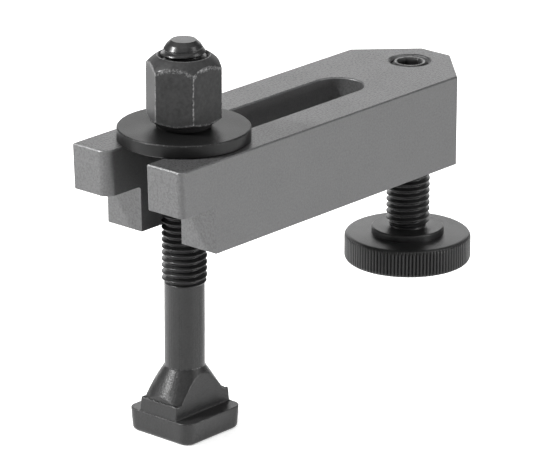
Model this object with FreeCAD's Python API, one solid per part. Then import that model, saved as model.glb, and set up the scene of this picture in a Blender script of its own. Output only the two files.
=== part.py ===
import FreeCAD, Part
import math
import os

V = FreeCAD.Vector

# Frame: the origin lies on the bolt's axis at the underside of its T-head.
# +Z runs up the bolt and +X towards the rear of the bar. All sizes in millimetres.

# Thread shared by the bolt, the nut and the support screw
thread_diameter = 12.0
thread_fit = 0.05

# Clamping bar
bar_underside = 55.4
bar_length = 125.0
bar_width = 38.0
bar_height = 25.0
bar_edge_bevel = 0.35
nose_overhang = 22.0
nose_thickness = 12.5
nose_depth = 13.0
nose_lean = 0.6
step_lean = 0.3
step_fillet = 1.0
prong_slot_corner = 3.0
prong_side_corner = 1.7
prong_sharp_corner = 0.4
rear_end_width = 10.0
slot_play = 1.0
support_hole_from_rear = 11.25
slot_end_to_support_hole = 23.25

# T-slot bolt
head_width = 22.0
head_height = 6.3
head_draft = 0.35
head_corner_radius = 3.0
head_foot_radius = 1.0
head_top_bevel = 0.25
neck_length = 21.2
neck_width = 12.9
neck_height = 3.7
taper_diameter = 21.1
taper_height = 8.2
end_draft = 1.2
flank_draft = 0.25
shank_inset = 0.65
thread_length = 66.2
runout_length = 0.8
bolt_above_nut = 4.0
point_inset = 2.55
point_length = 3.4

# Washer
washer_diameter = 35.0
washer_play = 0.5
washer_thickness = 3.6
washer_bevel = 0.3

# Hexagon nut
nut_flats = 17.8
nut_height = 19.2
nut_turn = 56.3
nut_dome_radius = 13.0
nut_mouth_flare = 0.7
nut_crown_land = 0.35
nut_seat_inset = 0.9
nut_seat_height = 1.3
nut_foot_slope = 35.0

# Support screw
screw_length = 57.0
screw_recess = 0.2
screw_end_bevel = 1.2
foot_diameter = 35.0
foot_height = 7.8
foot_bevel = 1.0
knurl_pitch = 1.0
knurl_depth = 0.42
knurl_crest_share = 0.4
collar_diameter = 20.0
collar_height = 1.9
collar_bevel = 0.6
undercut_inset = 1.05
undercut_height = 1.5
socket_flats = 6.0
socket_depth = 7.0
socket_mouth_margin = 0.2

# How far a cutter or a turning blank reaches past the piece that it shapes
overrun = 2.0

# Places worked out from the sizes
thread_radius = thread_diameter / 2.0
tapped_radius = thread_radius + thread_fit
bar_top = bar_underside + bar_height
nose_front = -nose_overhang
nose_underside = bar_top - nose_thickness
bar_rear = nose_front + bar_length
slot_half_width = thread_radius + slot_play
support_x = bar_rear - support_hole_from_rear
slot_arc_x = support_x - slot_end_to_support_hole - slot_half_width
neck_top = head_height + neck_height
washer_base = bar_top
nut_base = washer_base + washer_thickness
bolt_length = nut_base + nut_height + bolt_above_nut
screw_base = bar_top - screw_recess - screw_length


def polygon_face(points):
    """Face inside a closed polygon."""
    return Part.Face(Part.makePolygon(points + [points[0]]))


def turned(profile):
    """Solid of revolution about Z from the (radius, height) corners of its half section."""
    face = polygon_face([V(radius, 0, height) for radius, height in profile])
    return face.revolve(V(0, 0, 0), V(0, 0, 1), 360)


def hexagon(flats, base, height, turn=0.0):
    """Upright hexagonal prism about Z, with one corner at the given angle from +X."""
    corner_radius = flats / math.sqrt(3.0)
    points = []
    for side in range(6):
        angle = math.radians(turn + 60.0 * side)
        points.append(V(corner_radius * math.cos(angle), corner_radius * math.sin(angle), base))
    return polygon_face(points).extrude(V(0, 0, height))


def drafted_block(foot_size, top_size, base, height):
    """Upright block about Z whose foot and top rectangles differ; sizes are (along X, along Y)."""
    foot_x, foot_y = (size / 2.0 for size in foot_size)
    top_x, top_y = (size / 2.0 for size in top_size)
    block = Part.makeWedge(-foot_x, 0, -foot_y, -top_y, -top_x, foot_x, height, foot_y, top_y, top_x)
    block.rotate(V(0, 0, 0), V(1, 0, 0), 90)
    return block.translated(V(0, 0, base))


def edges_between(shape, low, high):
    """Edges of a shape whose own lowest and highest points lie at two heights."""
    close = 1e-4
    return [
        edge
        for edge in shape.Edges
        if abs(edge.BoundBox.ZMin - low) < close and abs(edge.BoundBox.ZMax - high) < close
    ]


def nose_corner(shape, y):
    """Upright edges at the front of the nose that stand at one place across the bar."""
    middle = nose_front + nose_lean / 2.0
    reach = nose_lean / 2.0 + prong_sharp_corner / 2.0
    return [
        edge
        for edge in edges_between(shape, nose_underside, bar_top)
        if abs(edge.CenterOfMass.y - y) < 0.01 and abs(edge.CenterOfMass.x - middle) < reach
    ]


def bar_side_view():
    """Side view of the bar: a stepped nose whose front faces lean back towards the bottom."""
    step_x = nose_front + nose_depth
    lean = math.atan2(step_lean, nose_underside - bar_underside)
    centre = V(step_x - step_fillet, 0, nose_underside - step_fillet)

    def on_fillet(angle):
        return centre + V(step_fillet * math.cos(angle), 0, step_fillet * math.sin(angle))

    fillet_foot = on_fillet(lean)
    fillet_top = on_fillet(math.pi / 2.0)
    fillet_middle = on_fillet((lean + math.pi / 2.0) / 2.0)
    step_drop = fillet_foot.z - bar_underside
    nose_top = V(nose_front, 0, bar_top)
    nose_foot = V(nose_front + nose_lean, 0, nose_underside)
    step_foot = V(fillet_foot.x + step_drop * math.tan(lean), 0, bar_underside)
    rear_foot = V(bar_rear, 0, bar_underside)
    rear_top = V(bar_rear, 0, bar_top)
    edges = [
        Part.makeLine(nose_top, nose_foot),
        Part.makeLine(nose_foot, fillet_top),
        Part.Arc(fillet_top, fillet_middle, fillet_foot).toShape(),
        Part.makeLine(fillet_foot, step_foot),
        Part.makeLine(step_foot, rear_foot),
        Part.makeLine(rear_foot, rear_top),
        Part.makeLine(rear_top, nose_top),
    ]
    return Part.Face(Part.Wire(edges))


def slot_cutter():
    """Cutter for the slot that is open at the nose and round at its rear end."""
    mouth_x = nose_front - overrun
    near_mouth = V(mouth_x, -slot_half_width, bar_underside)
    near_end = V(slot_arc_x, -slot_half_width, bar_underside)
    tip = V(slot_arc_x + slot_half_width, 0, bar_underside)
    far_end = V(slot_arc_x, slot_half_width, bar_underside)
    far_mouth = V(mouth_x, slot_half_width, bar_underside)
    edges = [
        Part.makeLine(near_mouth, near_end),
        Part.Arc(near_end, tip, far_end).toShape(),
        Part.makeLine(far_end, far_mouth),
        Part.makeLine(far_mouth, near_mouth),
    ]
    return Part.Face(Part.Wire(edges)).extrude(V(0, 0, bar_height))


def rear_corner_cutter(side):
    """Cutter for one 45 degree rear corner, on the -Y side for -1 and the +Y side for +1."""
    half_width = bar_width / 2.0
    leg = half_width - rear_end_width / 2.0
    points = [
        V(bar_rear - leg, side * half_width, bar_underside),
        V(bar_rear, side * half_width, bar_underside),
        V(bar_rear, side * (half_width - leg), bar_underside),
    ]
    return polygon_face(points).extrude(V(0, 0, bar_height))


def make_clamp_bar():
    """Forked bar: stepped nose, open slot, cut rear corners and the tapped hole."""
    half_width = bar_width / 2.0
    side_view = bar_side_view().translated(V(0, -half_width, 0))
    bar = side_view.extrude(V(0, bar_width, 0))
    bar = bar.cut([rear_corner_cutter(-1), rear_corner_cutter(1), slot_cutter()])
    rounded_corners = (
        (prong_slot_corner, slot_half_width),
        (prong_side_corner, -half_width),
        (prong_sharp_corner, -slot_half_width),
        (prong_sharp_corner, half_width),
    )
    for radius, y in rounded_corners:
        bar = bar.makeFillet(radius, nose_corner(bar, y))
    bar = bar.makeChamfer(bar_edge_bevel, edges_between(bar, bar_top, bar_top))
    hole = Part.makeCylinder(tapped_radius, bar_height, V(support_x, 0, bar_underside))
    return bar.cut(hole)


def make_t_slot_bolt():
    """Forged bolt: square head, drafted neck for the T-slot, coned root, shank and thread."""
    head_foot = head_width - 2.0 * head_draft
    head = drafted_block((head_foot, head_foot), (head_width, head_width), 0.0, head_height)
    head = head.makeFillet(head_corner_radius, edges_between(head, 0.0, head_height))
    head = head.makeFillet(head_foot_radius, edges_between(head, 0.0, 0.0))
    head = head.makeChamfer(head_top_bevel, edges_between(head, head_height, head_height))
    shank_radius = thread_radius - shank_inset
    taper_top = neck_top + taper_height
    corner_reach = (neck_length + neck_width) / 2.0
    round_blank = turned(
        [
            (0, head_height),
            (corner_reach, head_height),
            (corner_reach, neck_top),
            (taper_diameter / 2.0, neck_top),
            (shank_radius, taper_top),
            (0, taper_top),
        ]
    )
    root_foot = (neck_length, neck_width)
    root_top = (neck_length - 2.0 * end_draft, neck_width - 2.0 * flank_draft)
    root_block = drafted_block(root_foot, root_top, head_height, neck_height + taper_height)
    root = round_blank.common(root_block)
    shank_end = bolt_length - thread_length
    stem = turned(
        [
            (0, neck_top),
            (shank_radius, neck_top),
            (shank_radius, shank_end),
            (thread_radius, shank_end + runout_length),
            (thread_radius, bolt_length - point_length),
            (thread_radius - point_inset, bolt_length),
            (0, bolt_length),
        ]
    )
    return head.fuse([root, stem]).removeSplitter()


def make_washer():
    """Flat turned washer with broken edges."""
    bore_radius = thread_radius + washer_play
    rim_radius = washer_diameter / 2.0
    washer = turned(
        [
            (bore_radius + washer_bevel, 0),
            (rim_radius - washer_bevel, 0),
            (rim_radius, washer_bevel),
            (rim_radius, washer_thickness - washer_bevel),
            (rim_radius - washer_bevel, washer_thickness),
            (bore_radius + washer_bevel, washer_thickness),
            (bore_radius, washer_thickness - washer_bevel),
            (bore_radius, washer_bevel),
        ]
    )
    return washer.translated(V(0, 0, washer_base))


def make_clamp_nut():
    """Tall hexagon nut: domed crown, coned lower end on a turned seat, tapped bore."""
    blank_radius = nut_flats / math.sqrt(3.0) + overrun
    seat_radius = nut_flats / 2.0 - nut_seat_inset
    cone_rise = (blank_radius - seat_radius) * math.tan(math.radians(nut_foot_slope))
    blank = turned(
        [
            (0, 0),
            (seat_radius, 0),
            (seat_radius, nut_seat_height),
            (blank_radius, nut_seat_height + cone_rise),
            (blank_radius, nut_height),
            (0, nut_height),
        ]
    )
    mouth_radius = thread_radius + nut_mouth_flare
    crown_radius = mouth_radius + nut_crown_land
    dome_centre = nut_height - math.sqrt(nut_dome_radius**2 - crown_radius**2)
    dome = Part.makeSphere(nut_dome_radius, V(0, 0, dome_centre))
    dome = dome.fuse(Part.makeCylinder(blank_radius, dome_centre))
    mouth_depth = mouth_radius - tapped_radius
    bore = turned(
        [
            (0, 0),
            (mouth_radius, 0),
            (tapped_radius, mouth_depth),
            (tapped_radius, nut_height - mouth_depth),
            (mouth_radius, nut_height),
            (0, nut_height),
        ]
    )
    nut = hexagon(nut_flats, 0, nut_height, nut_turn).common(blank).common(dome).cut(bore)
    return nut.translated(V(0, 0, nut_base))


def knurled_disc(radius, height):
    """Disc with straight knurl teeth all round: narrow flat crests and sharp roots."""
    teeth = round(2.0 * math.pi * radius / knurl_pitch)
    tooth_angle = 2.0 * math.pi / teeth
    half_crest = tooth_angle * knurl_crest_share / 2.0
    root_radius = radius - knurl_depth
    points = []
    for tooth in range(teeth):
        middle = tooth * tooth_angle
        for corner_radius, angle in (
            (radius, middle - half_crest),
            (radius, middle + half_crest),
            (root_radius, middle + tooth_angle / 2.0),
        ):
            points.append(V(corner_radius * math.cos(angle), corner_radius * math.sin(angle), 0))
    return polygon_face(points).extrude(V(0, 0, height))


def make_support_screw():
    """Turned screw: knurled foot, collar, undercut, threaded stud and hexagon socket."""
    foot_radius = foot_diameter / 2.0
    foot_blank = Part.makeCylinder(foot_radius, foot_height)
    foot_blank = foot_blank.makeChamfer(foot_bevel, foot_blank.Edges)
    foot = knurled_disc(foot_radius, foot_height).common(foot_blank)
    collar_radius = collar_diameter / 2.0
    collar_top = foot_height + collar_height
    undercut_radius = thread_radius - undercut_inset
    undercut_top = collar_top + undercut_height
    stud = turned(
        [
            (0, 0),
            (collar_radius, 0),
            (collar_radius, collar_top - collar_bevel),
            (collar_radius - collar_bevel, collar_top),
            (undercut_radius, collar_top),
            (undercut_radius, undercut_top),
            (thread_radius, undercut_top + undercut_inset),
            (thread_radius, screw_length - screw_end_bevel),
            (thread_radius - screw_end_bevel, screw_length),
            (0, screw_length),
        ]
    )
    socket_mouth = socket_flats / math.sqrt(3.0) + socket_mouth_margin
    mouth = Part.makeCone(0, socket_mouth, socket_mouth, V(0, 0, screw_length - socket_mouth))
    socket = hexagon(socket_flats, screw_length - socket_depth, socket_depth)
    screw = foot.fuse(stud.cut([socket, mouth]))
    return screw.translated(V(support_x, 0, screw_base))


PARTS = {
    "clamp_bar": make_clamp_bar,
    "t_slot_bolt": make_t_slot_bolt,
    "washer": make_washer,
    "clamp_nut": make_clamp_nut,
    "support_screw": make_support_screw,
}

os.makedirs("parts", exist_ok=True)
for name, make in PARTS.items():
    solid = make().Solids[0]
    solid.exportStep("parts/" + name + ".step")
    box = solid.BoundBox
    print(name, solid.isValid(), round(solid.Volume, 1))
    print("   ", [round(v, 2) for v in (box.XMin, box.XMax, box.YMin, box.YMax, box.ZMin, box.ZMax)])
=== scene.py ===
"""Looks of a forked strap clamp: milled bar, T-slot bolt, washer, nut and support screw."""

import logging
import math
from dataclasses import dataclass, field, replace
from enum import Enum
from typing import Callable, Mapping, Optional, Sequence, Union

import bmesh
import bpy
import numpy as np
from mathutils import Matrix, Vector, noise


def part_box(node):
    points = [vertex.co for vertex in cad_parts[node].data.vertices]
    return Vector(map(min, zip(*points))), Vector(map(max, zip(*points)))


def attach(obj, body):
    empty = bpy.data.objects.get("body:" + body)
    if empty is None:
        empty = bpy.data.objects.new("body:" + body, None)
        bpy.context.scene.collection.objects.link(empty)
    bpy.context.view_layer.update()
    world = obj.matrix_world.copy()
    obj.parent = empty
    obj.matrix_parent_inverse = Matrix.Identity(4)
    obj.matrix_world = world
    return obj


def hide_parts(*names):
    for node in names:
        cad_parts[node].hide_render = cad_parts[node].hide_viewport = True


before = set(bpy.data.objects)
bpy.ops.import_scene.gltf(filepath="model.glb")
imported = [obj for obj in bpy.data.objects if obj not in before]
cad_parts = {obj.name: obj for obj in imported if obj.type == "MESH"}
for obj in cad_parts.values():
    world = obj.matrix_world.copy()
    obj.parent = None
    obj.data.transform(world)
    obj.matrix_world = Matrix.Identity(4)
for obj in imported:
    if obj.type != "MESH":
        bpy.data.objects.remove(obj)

log = logging.getLogger("strap_clamp")

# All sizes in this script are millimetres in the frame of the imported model,
# unless a name says otherwise.
MM = 0.001
FULL_TURN = 2.0 * math.pi
LEVEL_RIM_ANGLE = math.radians(25.0)
# Mesh attribute that brightens a surface to its bare colour: real wear on some edges, painted
# highlights on others (bar bevels, bolt head foot rounding, cone top ring, thread and knurl
# crests).
WEAR_AND_HIGHLIGHT = "wear_and_highlight"

Profile = Sequence[tuple[float, float]]
Amount = Union["Term", float, int]


class Part(Enum):
    """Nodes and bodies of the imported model, which share their names."""

    BAR = "clamp_bar"
    BOLT = "t_slot_bolt"
    WASHER = "washer"
    NUT = "clamp_nut"
    SCREW = "support_screw"


class Side(Enum):
    """Which way a threaded surface faces, as the sign of its outward normal."""

    OUTER = 1.0
    INNER = -1.0


@dataclass(frozen=True)
class NodeBox:
    """Box of one CAD node at rest, in millimetres."""

    low: Vector
    high: Vector

    @classmethod
    def of(cls, part: Part) -> "NodeBox":
        """Reads the box of a node from the frame.

        Args:
            part: The node to measure.

        Returns:
            Its lowest and highest corner in millimetres.
        """
        low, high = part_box(part.value)
        return cls(low / MM, high / MM)

    @property
    def centre(self) -> Vector:
        """Middle of the box."""
        return (self.low + self.high) / 2.0


class Term:
    """One number in a node tree, which adds a Math node wherever it stands in an expression."""

    def __init__(self, graph: "Graph", socket: bpy.types.NodeSocket) -> None:
        """Wraps an output socket of a graph."""
        self.graph = graph
        self.socket = socket

    def __add__(self, other: Amount) -> "Term":
        """Sum."""
        return self.graph.math("ADD", self, other)

    def __radd__(self, other: Amount) -> "Term":
        """Sum with a number on the left."""
        return self.graph.math("ADD", other, self)

    def __sub__(self, other: Amount) -> "Term":
        """Difference."""
        return self.graph.math("SUBTRACT", self, other)

    def __rsub__(self, other: Amount) -> "Term":
        """Difference with a number on the left."""
        return self.graph.math("SUBTRACT", other, self)

    def __mul__(self, other: Amount) -> "Term":
        """Product."""
        return self.graph.math("MULTIPLY", self, other)

    def __rmul__(self, other: Amount) -> "Term":
        """Product with a number on the left."""
        return self.graph.math("MULTIPLY", other, self)

    def __truediv__(self, other: Amount) -> "Term":
        """Quotient."""
        return self.graph.math("DIVIDE", self, other)

    def __rtruediv__(self, other: Amount) -> "Term":
        """Quotient with a number on the left."""
        return self.graph.math("DIVIDE", other, self)

    def __pow__(self, other: Amount) -> "Term":
        """Power."""
        return self.graph.math("POWER", self, other)


class Graph:
    """A shader or geometry node tree that is written as Python expressions."""

    def __init__(self, tree: bpy.types.NodeTree) -> None:
        """Starts writing into a tree."""
        self.tree = tree

    def node(
        self,
        kind: str,
        settings: Optional[Mapping[str, object]] = None,
        inputs: Optional[Mapping[Union[str, int], object]] = None,
    ) -> bpy.types.Node:
        """Adds a node, sets it up, then gives its sockets their values and links.

        Args:
            kind: Type name of the node.
            settings: Properties of the node, set first; "stops" holds the stops of a colour ramp.
            inputs: Values or links by socket identifier, name or position.

        Returns:
            The new node.
        """
        made = self.tree.nodes.new(kind)
        for name, value in (settings or {}).items():
            if name == "stops":
                self._set_stops(made, value)
            else:
                setattr(made, name, value)
        for key, value in (inputs or {}).items():
            socket = self.find(made.inputs, key)
            if isinstance(value, Term):
                self.tree.links.new(value.socket, socket)
            elif isinstance(value, bpy.types.NodeSocket):
                self.tree.links.new(value, socket)
            else:
                socket.default_value = value
        return made

    @staticmethod
    def _set_stops(ramp: bpy.types.Node, stops: Sequence[tuple[float, float]]) -> None:
        """Gives a colour ramp its grey stops.

        Args:
            ramp: The colour ramp node.
            stops: Pairs of position and grey value.
        """
        elements = ramp.color_ramp.elements
        while len(elements) < len(stops):
            elements.new(1.0)
        for element, (position, grey) in zip(elements, stops):
            element.position = position
            element.color = (grey, grey, grey, 1.0)

    @staticmethod
    def find(sockets: Sequence[bpy.types.NodeSocket], key: Union[str, int]) -> bpy.types.NodeSocket:
        """Finds a socket.

        Args:
            sockets: The inputs or outputs of a node.
            key: Its position, identifier or name.

        Returns:
            The socket.
        """
        if isinstance(key, int):
            return sockets[key]
        for socket in sockets:
            if socket.identifier == key:
                return socket
        return sockets[key]

    def out(self, made: bpy.types.Node, key: Union[str, int] = 0) -> Term:
        """Wraps an output of a node as a number."""
        return Term(self, self.find(made.outputs, key))

    def math(self, operation: str, *values: Amount) -> Term:
        """Adds a Math node.

        Args:
            operation: Name of the operation.
            values: Its one to three operands.

        Returns:
            The result.
        """
        made = self.node("ShaderNodeMath", {"operation": operation}, dict(enumerate(values)))
        return self.out(made)

    def least(self, *values: Amount) -> Term:
        """Smallest of several numbers."""
        result = values[0]
        for value in values[1:]:
            result = self.math("MINIMUM", result, value)
        return result

    def most(self, *values: Amount) -> Term:
        """Largest of several numbers."""
        result = values[0]
        for value in values[1:]:
            result = self.math("MAXIMUM", result, value)
        return result

    def ramp(self, value: Amount, start: Amount, end: Amount, smooth: bool = True) -> Term:
        """Rises from 0 at one value to 1 at another.

        Args:
            value: The number that is followed.
            start: Where the result is 0.
            end: Where the result is 1.
            smooth: Whether the ends are eased.

        Returns:
            A number from 0 to 1.
        """
        kind = "SMOOTHSTEP" if smooth else "LINEAR"
        sockets = {"Value": value, "From Min": start, "From Max": end, "To Min": 0.0, "To Max": 1.0}
        return self.out(self.node("ShaderNodeMapRange", {"interpolation_type": kind}, sockets))

    def component(self, vector: bpy.types.NodeSocket, axis: int) -> Term:
        """One component of a vector."""
        return self.out(self.node("ShaderNodeSeparateXYZ", inputs={0: vector}), axis)

    def noise(
        self, point: bpy.types.NodeSocket, size: float, detail: float, fineness: float
    ) -> Term:
        """Fractal noise from 0 to 1.

        Args:
            point: Place in millimetres.
            size: Size of the largest features in millimetres.
            detail: Number of finer layers.
            fineness: Share that each finer layer keeps.

        Returns:
            The noise value.
        """
        sockets = {"Vector": point, "Scale": 1.0 / size, "Detail": detail, "Roughness": fineness}
        return self.out(self.node("ShaderNodeTexNoise", inputs=sockets), 0)


@dataclass(frozen=True)
class SteelFinish:
    """One steel surface: its skin, its gloss, its grain, and what wear and painted highlights do to
    it.

    Greys are linear reflectances. Grain sizes and depths are in millimetres.
    """

    slot: str
    skin: float
    metal: float
    bare_and_highlight: float
    roughness: float
    bare_roughness: float
    grain_size: float
    grain_contrast: float
    grain_depth: float
    cloud_size: float = 9.0
    cloud_contrast: float = 0.08
    speck_size: float = 0.3
    specks: float = 0.0
    speck_depth: float = 0.05
    side_specks: float = 0.0
    front_share: float = 0.3
    line_contrast: float = 0.0
    wear_size: float = 0.7
    raggedness: float = 0.5
    specular: float = 0.35
    turned_about: Optional[tuple[float, float]] = None
    ring_pitch: float = 0.32
    ring_contrast: float = 0.0
    ring_depth: float = 0.0

    def material(self) -> bpy.types.Material:
        """Builds the node material.

        Returns:
            The finished material.
        """
        made = bpy.data.materials.new(self.slot + "_finish")
        made.use_nodes = True
        made.node_tree.nodes.clear()
        graph = Graph(made.node_tree)
        place = graph.node("ShaderNodeTexCoord")
        point = graph.node(
            "ShaderNodeVectorMath",
            {"operation": "SCALE"},
            {0: place.outputs["Object"], "Scale": 1.0 / MM},
        ).outputs[0]
        up = graph.ramp(graph.component(place.outputs["Normal"], 2), 0.6, 0.95)
        grain = graph.noise(point, self.grain_size, 5.0, 0.62)
        cloud = graph.noise(point, self.cloud_size, 3.0, 0.5)
        tone = 1.0 + self.cloud_contrast * (2.0 * cloud - 1.0)
        tone = tone + self.grain_contrast * (2.0 * grain - 1.0)
        height = (grain - 0.5) * self.grain_depth
        if self.specks:
            speck = graph.ramp(graph.noise(point, self.speck_size, 2.0, 0.55), 0.43, 0.64)
            forward = graph.component(place.outputs["Normal"], 0) * -1.0
            rough = up + self.front_share * graph.ramp(forward, 0.6, 0.95)
            strength = self.side_specks + (self.specks - self.side_specks) * rough
            tone = tone * (1.0 - strength * speck)
            height = height - self.speck_depth * strength * speck
        if self.line_contrast:
            drawn = graph.node(
                "ShaderNodeMapping",
                {"vector_type": "TEXTURE"},
                {"Vector": point, "Scale": (14.0, 14.0, 0.35)},
            )
            lines = graph.noise(drawn.outputs[0], 1.0, 4.0, 0.6)
            tone = tone + self.line_contrast * (2.0 * lines - 1.0) * (1.0 - up)
        if self.turned_about:
            rings = self._rings(graph, point, self.turned_about)
            tone = tone + self.ring_contrast * rings * up
            height = height + self.ring_depth * rings * up
        # The wear attribute mixes in the bare colour: real wear on some edges, painted highlights
        # on others.
        wear_and_highlight = graph.out(graph.node("ShaderNodeAttribute", {"attribute_name": WEAR_AND_HIGHLIGHT}), "Fac")
        patches = 2.0 * graph.noise(point, self.wear_size, 4.0, 0.65) - 1.0
        bare_and_highlight = graph.ramp(wear_and_highlight * (1.0 + 2.0 * self.raggedness * patches), 0.35, 0.8)
        colour = graph.node(
            "ShaderNodeMix",
            {"data_type": "RGBA"},
            {
                "Factor_Float": bare_and_highlight,
                "A_Color": (self.skin, self.skin, self.skin * 1.01, 1.0),
                "B_Color": (self.bare_and_highlight, self.bare_and_highlight, self.bare_and_highlight * 1.005, 1.0),
            },
        )
        shade = graph.node(
            "ShaderNodeVectorMath",
            {"operation": "SCALE"},
            {0: graph.find(colour.outputs, "Result_Color"), "Scale": graph.most(tone, 0.05)},
        )
        gloss = self.roughness + (self.bare_roughness - self.roughness) * bare_and_highlight
        gloss = gloss + 0.10 * (cloud - 0.5) + 0.12 * (grain - 0.5)
        bump = graph.node(
            "ShaderNodeBump", inputs={"Strength": 1.0, "Distance": MM, "Height": height}
        )
        surface = graph.node(
            "ShaderNodeBsdfPrincipled",
            inputs={
                "Base Color": shade.outputs[0],
                "Metallic": self.metal + (1.0 - self.metal) * bare_and_highlight,
                "Roughness": gloss,
                "Specular IOR Level": self.specular,
                "Normal": bump.outputs[0],
            },
        )
        graph.node("ShaderNodeOutputMaterial", inputs={"Surface": surface.outputs[0]})
        return made

    def _rings(
        self, graph: Graph, point: bpy.types.NodeSocket, centre: tuple[float, float]
    ) -> Term:
        """Fine circles round an upright axis, as a turning tool leaves them.

        Args:
            graph: The material's graph.
            point: Place in millimetres.
            centre: Where the axis stands.

        Returns:
            A wave from -1 to 1.
        """
        across = graph.component(point, 0) - centre[0]
        along = graph.component(point, 1) - centre[1]
        radius = graph.math("SQRT", across * across + along * along)
        wobble = graph.noise(point, 3.0, 2.0, 0.5)
        return graph.math("SINE", (radius + 0.3 * wobble) * (FULL_TURN / self.ring_pitch))

    def dress(self, piece: bpy.types.Object, material: bpy.types.Material) -> None:
        """Gives a piece this finish.

        Args:
            piece: The mesh object.
            material: The material made from this finish.
        """
        piece.data.materials.clear()
        piece.data.materials.append(material)


class Workshop:
    """Keeps one material for each finish and hands pieces to their bodies."""

    def __init__(self) -> None:
        """Starts with no materials."""
        self._materials: dict[SteelFinish, bpy.types.Material] = {}

    def material(self, finish: SteelFinish) -> bpy.types.Material:
        """Material of a finish, built the first time that it is asked for."""
        if finish not in self._materials:
            self._materials[finish] = finish.material()
        return self._materials[finish]

    def deliver(
        self, piece: bpy.types.Object, finish: SteelFinish, part: Part, replaces: bool = True
    ) -> None:
        """Finishes a piece and hands it to its body.

        Args:
            piece: The mesh object.
            finish: Its finish.
            part: The body it rides on, and the node it may stand for.
            replaces: Whether it stands for the node.
        """
        finish.dress(piece, self.material(finish))
        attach(piece, part.value)
        if replaces:
            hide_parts(part.value)
        log.info("%s: %d faces", piece.name, len(piece.data.polygons))


def sharpen_level_faces(mesh: bpy.types.Mesh) -> None:
    """Keeps the rims of level faces sharp, as those of a turned end.

    Args:
        mesh: The mesh, changed in place.
    """
    shape = bmesh.new()
    shape.from_mesh(mesh)
    for edge in shape.edges:
        level = [abs(face.normal.z) > 0.999 for face in edge.link_faces]
        if len(level) == 2 and level[0] != level[1]:
            edge.smooth = edge.smooth and edge.calc_face_angle() < LEVEL_RIM_ANGLE
    shape.to_mesh(mesh)
    shape.free()


def new_piece(name: str, mesh: bpy.types.Mesh, sharp_degrees: float) -> bpy.types.Object:
    """Links a mesh as an object with smooth faces and sharp edges.

    Args:
        name: Name of the piece.
        mesh: Its mesh in metres.
        sharp_degrees: Edges that turn by more than this stay sharp.

    Returns:
        The object, at the origin.
    """
    mesh.name = name
    mesh.shade_smooth()
    mesh.set_sharp_from_angle(angle=math.radians(sharp_degrees))
    sharpen_level_faces(mesh)
    piece = bpy.data.objects.new(name, mesh)
    bpy.context.scene.collection.objects.link(piece)
    return piece


class RingStack:
    """Rings round an upright axis, listed from the lowest outwards and up, that make a skin."""

    def __init__(self, angles: np.ndarray, centre_x: float = 0.0) -> None:
        """Starts with no rings.

        Args:
            angles: Directions of the columns in radians, anticlockwise seen from above.
            centre_x: Where the axis stands along the bar.
        """
        self.angles = angles
        self.centre_x = centre_x
        self._rings: list[tuple[np.ndarray, np.ndarray, np.ndarray]] = []

    def add(
        self,
        radius: Union[np.ndarray, float],
        height: Union[np.ndarray, float],
        wear_and_highlight: Union[np.ndarray, float] = 0.0,
    ) -> None:
        """Adds a ring; a radius of zero makes a pole.

        Args:
            radius: Its reach, one number or one for each column.
            height: Its height.
            wear_and_highlight: Its wear and painted highlight, from 0 to 1.
        """
        level = np.zeros_like(self.angles)
        self._rings.append((radius + level, height + level, wear_and_highlight + level))

    @property
    def last_radius(self) -> np.ndarray:
        """Reach of the ring that was added last."""
        return self._rings[-1][0]

    def mesh(
        self, name: str, unevenness: Optional[Callable[[Vector], Vector]] = None
    ) -> bpy.types.Mesh:
        """Makes the skin through the rings.

        Args:
            name: Name of the mesh.
            unevenness: Moves a point as hand work or forging does.

        Returns:
            The mesh in metres, with its doubles merged.
        """
        corners, brightening, faces = [], [], []
        columns = len(self.angles)
        for radius, height, wear_and_highlight in self._rings:
            for column, angle in enumerate(self.angles):
                spot = Vector((math.cos(angle), math.sin(angle), 0.0)) * float(radius[column])
                spot.z = float(height[column])
                spot = unevenness(spot) if unevenness else spot
                corners.append((spot + Vector((self.centre_x, 0.0, 0.0))) * MM)
                brightening.append(float(wear_and_highlight[column]))
        for ring in range(len(self._rings) - 1):
            low, high = ring * columns, (ring + 1) * columns
            for column in range(columns):
                beside = (column + 1) % columns
                faces.append((low + column, low + beside, high + beside, high + column))
        mesh = bpy.data.meshes.new(name)
        mesh.from_pydata(corners, [], faces)
        mesh.attributes.new(WEAR_AND_HIGHLIGHT, "FLOAT", "POINT").data.foreach_set("value", brightening)
        merge_doubles(mesh)
        return mesh


def merge_doubles(mesh: bpy.types.Mesh, distance: float = 0.0004) -> None:
    """Merges points that lie together.

    Args:
        mesh: The mesh, changed in place.
        distance: Points nearer than this are one, in millimetres.
    """
    shape = bmesh.new()
    shape.from_mesh(mesh)
    bmesh.ops.remove_doubles(shape, verts=shape.verts, dist=distance * MM)
    bmesh.ops.dissolve_degenerate(shape, edges=shape.edges, dist=distance * MM * 0.1)
    shape.to_mesh(mesh)
    shape.free()


def join_meshes(name: str, meshes: Sequence[bpy.types.Mesh]) -> bpy.types.Mesh:
    """Joins several meshes into one and merges the points that they share.

    Args:
        name: Name of the joined mesh.
        meshes: The meshes in metres.

    Returns:
        The joined mesh.
    """
    shape = bmesh.new()
    for mesh in meshes:
        shape.from_mesh(mesh)
    joined = bpy.data.meshes.new(name)
    shape.to_mesh(joined)
    shape.free()
    merge_doubles(joined)
    return joined


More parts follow.
